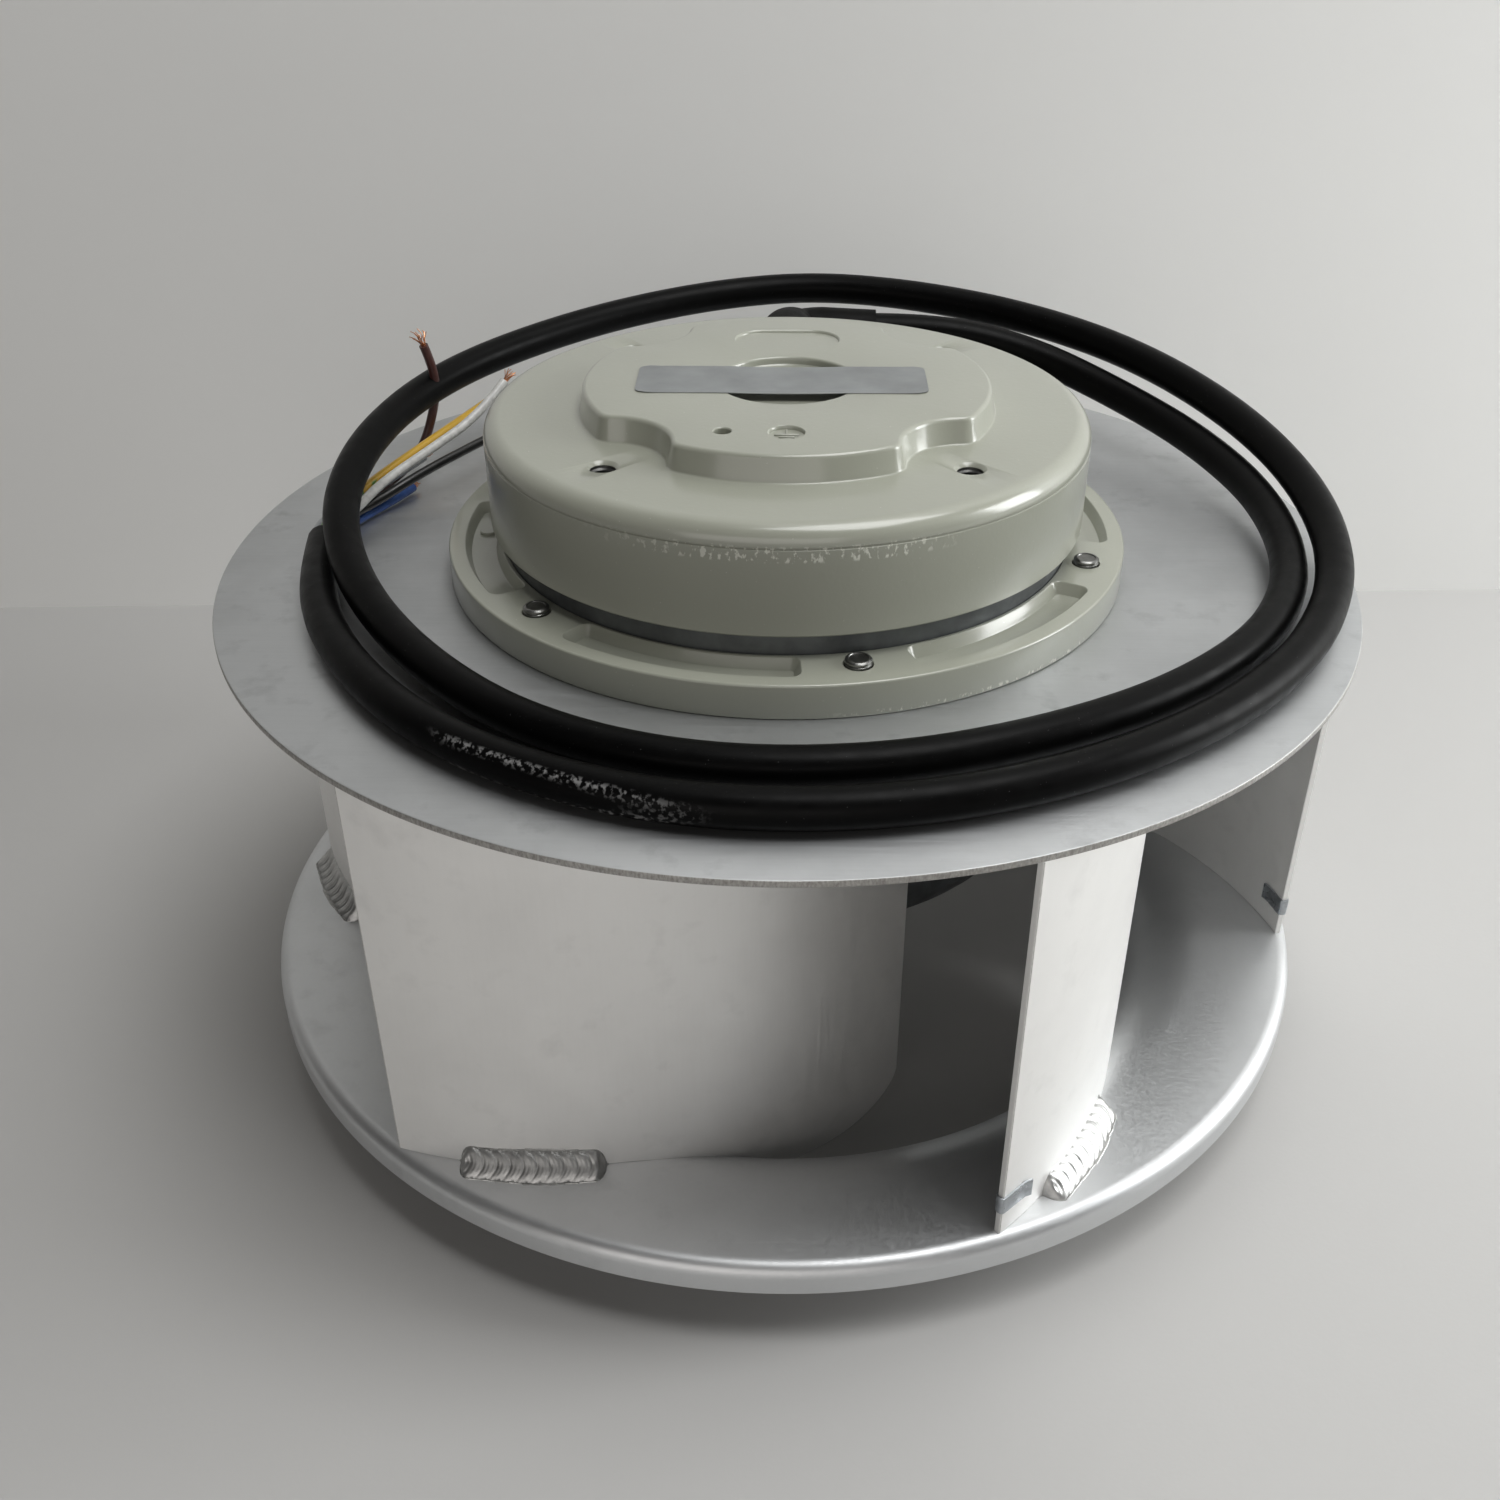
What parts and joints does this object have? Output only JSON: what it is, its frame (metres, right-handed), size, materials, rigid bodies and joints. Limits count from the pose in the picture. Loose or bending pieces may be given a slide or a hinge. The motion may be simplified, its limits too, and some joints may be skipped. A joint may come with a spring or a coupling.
{
  "type": "centrifugal fan",
  "caption": "Backward-curved centrifugal fan: welded aluminium impeller on an external-rotor motor with a painted cover and a coiled black cable",
  "frame": {"origin": "the lower end of the inlet collar, on the shaft's axis", "axes": "+Z runs along the shaft to the motor's fixing face, +Y points to the side where the cable leaves"},
  "size_m": [0.286, 0.286, 0.1734],
  "materials": {
    "mill_sheet": "rolled aluminium sheet",
    "weld_metal": "weld bead",
    "cast_paint": "glossy grey-green paint on cast aluminium",
    "bell_steel": "dark bare steel",
    "zinc_steel": "zinc plated steel",
    "spring_steel": "spring steel",
    "bearing_steel": "ground bearing steel",
    "core_steel": "electrical sheet",
    "copper": "copper winding",
    "cage_cast": "cast cage",
    "label_foil": "bare label",
    "cable_rubber": "black rubber",
    "gland_rubber": "dark moulded rubber",
    "sleeve": "insulating sleeve",
    "ins_yellow_green": "yellow and green insulation",
    "ins_white": "white insulation",
    "ins_grey": "grey insulation",
    "ins_black": "black insulation",
    "ins_blue": "blue insulation",
    "ins_brown": "brown insulation"
  },
  "bodies": {
    "stator": {"stator_cover": "cast_paint", "rating_label": "label_foil", "stator_bush": "cage_cast", "bush_screws": "zinc_steel", "stator_laminations": "core_steel", "stator_winding": "copper", "thermal_contact": "sleeve", "winding_leads": "sleeve", "upper_outer_race": "bearing_steel", "lower_outer_race": "bearing_steel", "bearing_balls": "bearing_steel", "wave_spring": "spring_steel", "bore_circlip": "spring_steel", "cable_gland": "gland_rubber", "cable_jacket": "cable_rubber", "core_yellow_green": "ins_yellow_green", "core_white": "ins_white", "core_grey": "ins_grey", "core_black": "ins_black", "core_blue": "ins_blue", "core_brown": "ins_brown"},
    "impeller": {"back_plate": "mill_sheet", "inlet_shroud": "mill_sheet", "blade_1": "mill_sheet", "blade_2": "mill_sheet", "blade_3": "mill_sheet", "blade_4": "mill_sheet", "blade_5": "mill_sheet", "blade_6": "mill_sheet", "rotor_flange": "cast_paint", "rotor_bell": "bell_steel", "shaft": "bearing_steel", "upper_inner_race": "bearing_steel", "lower_inner_race": "bearing_steel", "shaft_circlip": "spring_steel", "rotor_laminations": "core_steel", "rotor_cage": "cage_cast", "flange_screws": "zinc_steel", "flange_washers": "zinc_steel", "shroud_welds": "weld_metal", "back_plate_welds": "weld_metal", "balance_clips": "spring_steel"}
  },
  "joints": [
    {"name": "impeller_spin", "type": "hinge", "parent": "stator", "child": "impeller", "pos_m": [0, 0, 0.128], "axis": [0, 0, 1], "continuous": true}
  ]
}
